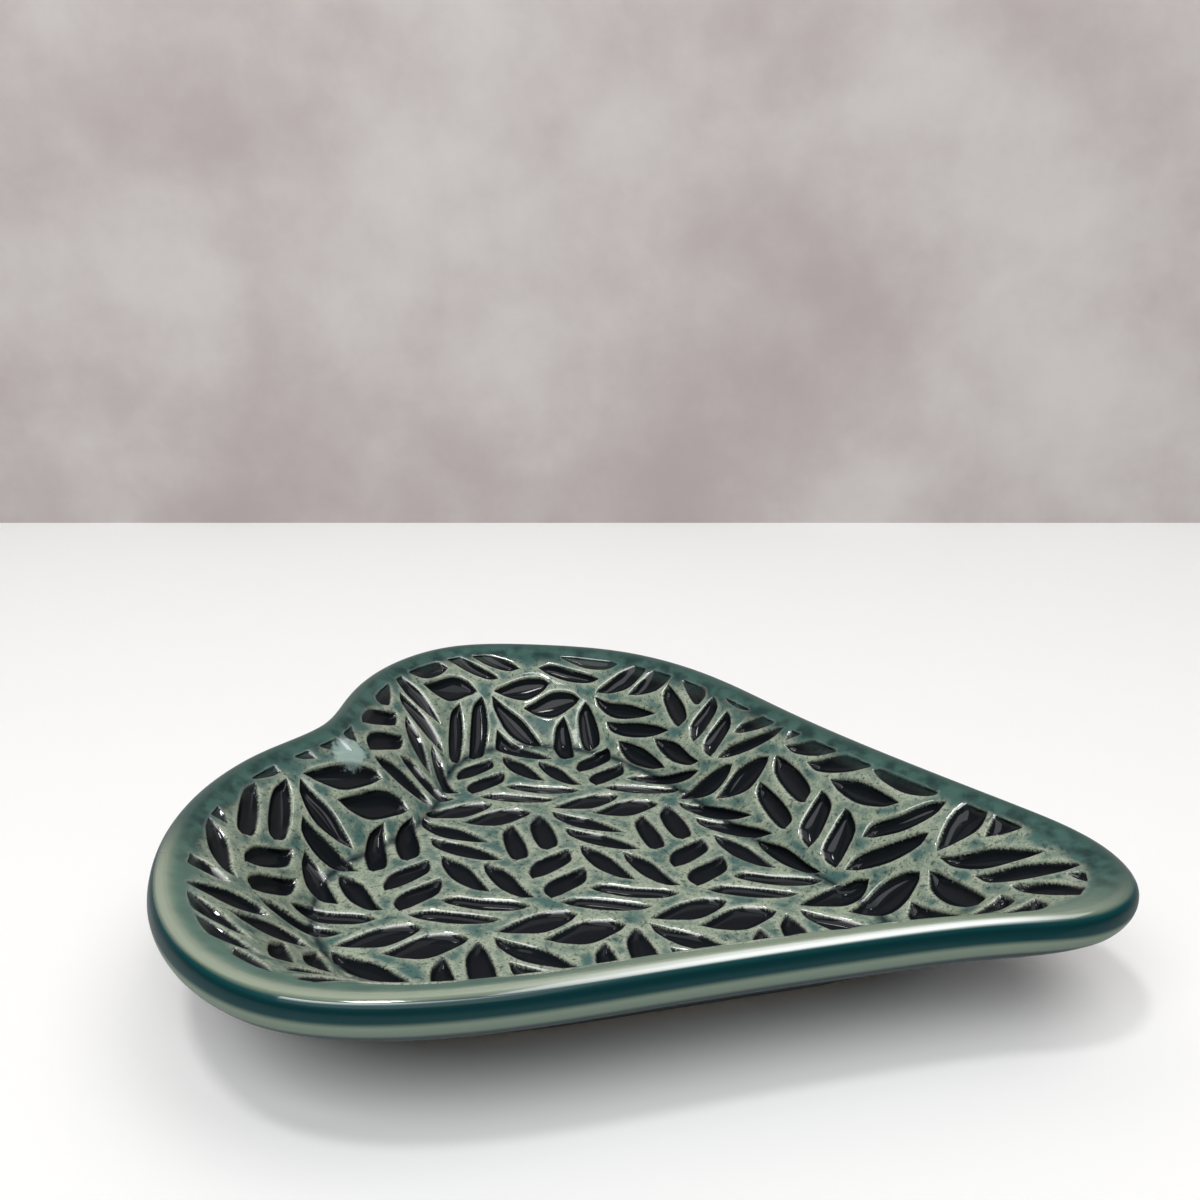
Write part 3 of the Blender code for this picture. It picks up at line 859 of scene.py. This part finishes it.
# %% Colours
def paint(code):
    """A colour written as six hex digits, as light values."""
    shares = [int(code[k:k + 2], 16) / 255 for k in (0, 2, 4)]
    return tuple(s / 12.92 if s <= 0.04045 else ((s + 0.055) / 1.055) ** 2.4 for s in shares) + (1.0,)


print("half grey is", round(paint("808080")[0], 3), "of white's light")

# %% [markdown]
# ## What the glaze's finish reads
# Melted glaze runs off raised edges and gathers in hollows. On the ground it is thin, pale and speckled,
# and in the leaves it is deep and nearly black. A picture could be painted on to the mesh, but the mesh
# already knows where each place is: inside or outside a leaf, near the crease, near the rim. Masks on those
# distances, in millimetres, paint it all, and a few noises fray them so that nothing looks ruled. Some
# masks
# paint light and shade as well: painted shade along the crease and under the rim, and painted highlights
# and reflections on the near side of the rim.

# %% The glaze's distances and noises
CLOUD_WAVES, GRAIN_WAVES, FINE_WAVES = 320.0, 1400.0, 3200.0
STREAK_WAVES = 3.0
skin = Recipe(bpy.data.materials.new("pooled_teal_glaze"))
edge = skin.attribute("edge")
climb = skin.attribute("climb")
over = skin.attribute("over")
place_wire = skin.node("ShaderNodeTexCoord", {}, {}, out="Object")
cloud = skin.noise(place_wire, CLOUD_WAVES, 3.0)
grain = skin.noise(place_wire, GRAIN_WAVES, 3.0, 0.6)
fine = skin.noise(place_wire, FINE_WAVES, 2.0, 0.6)
along_leaf = skin.node("ShaderNodeCombineXYZ", {}, {"X": skin.attribute("along")})
streak = skin.noise(along_leaf, STREAK_WAVES, 2.0)
print("the glaze reads", ", ".join(NAMES), "and four noises")

# %% The thin glaze on the ground: sage, greyer in clouds, paler round the leaves, with dark flecks
SAGE, GREY_TEAL = paint("9aa591"), paint("486864")
PALE_EDGE = paint("b8bfa6")
GREEN_FLECKS, DARK_FLECKS = paint("3f5248"), paint("25332f")
CREASE_POOL_AND_SHADE = paint("0e2529")
ground = skin.mix(skin.ease(cloud - edge * 0.11, 0.44, 0.80), SAGE, GREY_TEAL)
near_edge = skin.ease(edge + grain * 1.2, -0.35, 0.55)
ground = skin.mix(near_edge * skin.ease(streak, 0.30, 0.60) * 0.4, ground, PALE_EDGE)
ground = skin.mix(skin.ease(fine, 0.42, 0.66) * 0.42, ground, GREEN_FLECKS)
ground = skin.mix(skin.ease(grain, 0.56, 0.64) * 0.7, ground, DARK_FLECKS)
# Along the crease the glaze pools darker, and a painted shade of the fold darkens it further.
crease_pool_and_shade = skin.ease(skin.node("ShaderNodeMath", {"operation": "ABSOLUTE"}, {0: climb}), 1.7, 0.1)
ground = skin.mix(crease_pool_and_shade * 0.95, ground, CREASE_POOL_AND_SHADE)
print("sage gives back", round(SAGE[1], 2), "of green light, grey teal", round(GREY_TEAL[1], 2))

# %% [markdown]
# ## The band near the rim
# Where the slab was smoothed, the glaze lies in one even coat of dark teal. On the near side, towards the
# tip, it is painted paler, a painted highlight where the lamps fall. The dish's own coordinates tell the
# sides apart: a slanting line over length and width is 0 on the far side and 1 on the near one.

# %% The smooth band, painted paler on the near side and towards the tip as painted light
FAR_TEAL, FAR_CLOUD = paint("1e3936"), paint("3f5f58")
NEAR_LIT_SAGE, TIP_LIT_SAGE = paint("5f7c70"), paint("909e8a")
length = skin.node("ShaderNodeSeparateXYZ", {}, {"Vector": place_wire}, out="X")
across = skin.node("ShaderNodeSeparateXYZ", {}, {"Vector": place_wire}, out="Y")
tip_turn = skin.ease(length, 30 * MM, 66 * MM) * (8 * MM)
near_side = skin.ease(length * 0.3 - across * 0.9 - tip_turn, 8 * MM, 26 * MM)
near_tip = near_side * skin.ease(length, -5 * MM, 25 * MM)
land = skin.mix(skin.ease(cloud, 0.35, 0.65), FAR_TEAL, FAR_CLOUD)
# Painted light: the near side and the tip get a paler sage where the lamps fall on them.
land = skin.mix(near_side * 0.7, land, NEAR_LIT_SAGE)
land = skin.mix(near_tip * 0.8, land, TIP_LIT_SAGE)
ground = skin.mix(skin.ease(over + grain * 1.5 + cloud * 2.0, -4.2, -1.0), ground, land)
print("the band starts about 4 mm inside the rim")

# %% The pools in the leaves, with a frayed outline
POOL = paint("070d13")
pool = skin.ease(edge + (streak - 0.5) * 0.5 + (fine - 0.5) * 0.25, -0.10, 0.16)
pool = pool * (1 - skin.ease(over, -5.0, -2.5) * 0.3)
colour = skin.mix(pool, ground, POOL)
print("the pools give back", round(POOL[1], 3), "of green light")

# %% [markdown]
# ## The rim's bands
# Over the round rim the glaze thinned to a pale line, painted paler still on the near side as a
# highlight, and below it a thick roll of teal gathered. Under that it thinned again to the lower corner,
# which is also painted paler as a reflection of the bright table, and the underside past it is painted
# dark as shade. Each band is a mix that starts at a distance past the rim's line. Two more marks belong
# here: a painted white highlight along the crown near the tip, and a pale drip at the cleft.

# %% The rim's bands, the painted white highlight and the pale drip
# Past the crown: the teal roll, then the lower corner, thinned glaze with a painted reflection of the
# table, then the underside, painted dark as painted shade.
RIM_STOPS = [
    (1.0, None), (1.7, "053c3e"), (2.4, "002b2f"), (3.6, "043236"),
    (4.3, "6f7e70"), (5.0, "68776c"), (5.6, "2b383c"), (9.0, "333f43"),
]
FAR_LINE, NEAR_LIT_LINE = paint("324e48"), paint("86957e")
HIGHLIGHT_WHITE, DRIP_PALE = paint("e2e8e4"), paint("9db4ae")
DRIP_PLACE = (-53.2 * MM, 2.4 * MM, 16.0 * MM)
# The crown's pale line is thinned glaze, painted paler on the near side as a painted highlight.
rim_line = skin.mix(near_side, FAR_LINE, NEAR_LIT_LINE)
colour = skin.mix(skin.ease(over + cloud, -1.2, 1.2), colour, rim_line)
for (start, _), (stop, code) in zip(RIM_STOPS, RIM_STOPS[1:]):
    colour = skin.mix(skin.ease(over, start, stop), colour, paint(code))
# A painted white highlight along the crown near the tip, where the lamps' reflection lies on the rim.
painted_highlight = near_tip * (1 - skin.ease(length, 50 * MM, 60 * MM))
painted_highlight = painted_highlight * (skin.ease(over, 0.2, 0.8) - skin.ease(over, 1.3, 1.8))
colour = skin.mix(painted_highlight * 0.85, colour, HIGHLIGHT_WHITE)
drip_gap = skin.node("ShaderNodeVectorMath", {"operation": "DISTANCE"},
                     {0: place_wire, 1: DRIP_PLACE}, out="Value")
drip = skin.ease(drip_gap + (grain - 0.5) * (3 * MM), 3.6 * MM, 2.2 * MM)
colour = skin.mix(drip * 0.75, colour, DRIP_PALE)
print(len(RIM_STOPS) - 1, "bands go round the rim")

# %% [markdown]
# ## The glaze's gloss
# The glaze is glass, but a smooth coat all over would mirror the lamps where the real one, thin and stony,
# doesn't. So the base is nearly matt, and a glossy coat lies on it in places: on the leaves' rounded edges,
# in the pools on the wall and along the crown of the rim. A slight bump makes the coat wavy.

# %% Where the coat lies, and the whole finish
BASE_ROUGHNESS, BASE_IOR = 0.42, 1.2
COAT_ROUGHNESS, COAT_IOR = 0.07, 2.3
WAVE_STRENGTH, WAVE_HEIGHT = 0.35, 0.12 * MM
lip = skin.ease(edge, -0.7, -0.2) - skin.ease(edge, 0.0, 0.3)
crown = (skin.ease(over, -0.8, 0.4) - skin.ease(over, 1.5, 1.8)) * (near_side * 0.75 + 0.25)
on_wall = skin.ease(climb, 0.3, 3.0)
coat = lip * 0.7 + pool * on_wall * 0.05 + crown * 0.9 + 0.05
waves = skin.node("ShaderNodeBump", {}, {
    "Strength": WAVE_STRENGTH, "Distance": WAVE_HEIGHT, "Height": cloud + grain * 0.25})
glaze_skin.data.materials.append(skin.finish({
    "Base Color": colour, "Roughness": BASE_ROUGHNESS + pool * 0.33 - crown * 0.2, "IOR": BASE_IOR,
    "Coat Weight": coat, "Coat Roughness": COAT_ROUGHNESS, "Coat IOR": COAT_IOR, "Normal": waves}))

# %% [markdown]
# ## The bare clay's finish
# Fired stoneware is matt and buff, with darker specks of iron. One fine noise between two browns is enough
# for the little of it that shows.

# %% The bare clay's finish
BUFF, IRON_SPECK = paint("a48f74"), paint("7b6850")
SPECK_WAVES = 900.0
bare = Recipe(bpy.data.materials.new("bare_stoneware"))
bare_place = bare.node("ShaderNodeTexCoord", {}, {}, out="Object")
speck = bare.noise(bare_place, SPECK_WAVES, 4.0)
fired_clay.data.materials.append(bare.finish({
    "Base Color": bare.mix(speck, BUFF, IRON_SPECK), "Roughness": 0.85}))

# %% [markdown]
# ## The set
# A pale table and a mottled grey backdrop stand round the dish, so that the glaze has something soft to
# mirror. The table lies a hair under the foot, because two faces at one height would flicker.

# %% The table
TABLE_HALF = 3.0
TABLE_DROP = 0.05 * MM
TABLE_PALE = (0.93, 0.93, 0.92, 1.0)


def square_sheet(name, half, height):
    """A flat square round the origin at the given height."""
    mesh = bmesh.new()
    bmesh.ops.create_grid(mesh, x_segments=1, y_segments=1, size=half)
    bmesh.ops.translate(mesh, verts=mesh.verts[:], vec=(0.0, 0.0, height))
    data = bpy.data.meshes.new(name)
    mesh.to_mesh(data)
    mesh.free()
    sheet = bpy.data.objects.new(name, data)
    bpy.context.scene.collection.objects.link(sheet)
    return sheet


table_top = square_sheet("table_top", TABLE_HALF, -TABLE_DROP)
pale = Recipe(bpy.data.materials.new("pale_table"))
table_top.data.materials.append(pale.finish({"Base Color": TABLE_PALE, "Roughness": 0.6}))

# %% The backdrop, square to the camera
BACKDROP_HALF = 1.5
BACKDROP_PLACE = (-95.0 * MM, 242.0 * MM, 1.4)
WARM_GREY, LIGHT_GREY = paint("b3a8a8"), paint("cfcac7")
MOTTLE_WAVES = 9.0
backdrop = square_sheet("backdrop", BACKDROP_HALF, 0.0)
backdrop.location = BACKDROP_PLACE
backdrop.rotation_euler = (pi / 2, 0.0, CAMERA_TURN)
plaster = Recipe(bpy.data.materials.new("grey_plaster"))
plaster_place = plaster.node("ShaderNodeTexCoord", {}, {}, out="Object")
mottling = plaster.ease(plaster.noise(plaster_place, MOTTLE_WAVES, 6.0, 0.6), 0.3, 0.7)
backdrop.data.materials.append(plaster.finish({
    "Base Color": plaster.mix(mottling, WARM_GREY, LIGHT_GREY), "Roughness": 0.9}))

# %% [markdown]
# ## The light
# Soft light comes from above and in front, as from a wide window, and gives the near rim its long white
# line. A second, weaker box lights the far wall, and a small lamp puts sharp glints on the leaves' edges
# and a shadow with a clear edge on the table. The sky fills the rest, dark near the horizon.

# %% The sky
SKY_LOW, SKY_HIGH = (0.03, 0.03, 0.03, 1.0), (0.20, 0.21, 0.22, 1.0)
sky = Recipe(bpy.data.worlds.new("studio"))
bpy.context.scene.world = sky.owner
height = sky.node("ShaderNodeSeparateXYZ", {}, {"Vector": sky.node("ShaderNodeTexCoord")}, out="Z")
sky_colour = sky.mix(sky.ease(height, 0.15, 0.9), SKY_LOW, SKY_HIGH)
sky_light = sky.node("ShaderNodeBackground", {}, {"Color": sky_colour})
sky.node("ShaderNodeOutputWorld", {}, {"Surface": sky_light})
print("the sky grows from", SKY_LOW[:3], "to", SKY_HIGH[:3])

# %% The lamps: width, depth and place in metres, strength in watts
LAMPS = [
    ("front_softbox", 1.1, 0.6, 7.4, (0.06, -0.62, 0.82)),
    ("side_softbox", 0.6, 0.6, 2.05, (0.33, 0.12, 0.90)),
    ("spot_lamp", 0.12, 0.12, 1.85, (-0.14, -0.20, 0.95)),
]
for name, width, depth, watts, place in LAMPS:
    lamp = bpy.data.lights.new(name, "AREA")
    lamp.shape = "RECTANGLE"
    lamp.size = width
    lamp.size_y = depth
    lamp.energy = watts
    box = bpy.data.objects.new(name, lamp)
    box.location = place
    box.rotation_euler = Vector(place).to_track_quat("Z", "Y").to_euler()
    bpy.context.scene.collection.objects.link(box)
bpy.context.scene.view_settings.view_transform = "Standard"
print(len(LAMPS), "lamps")
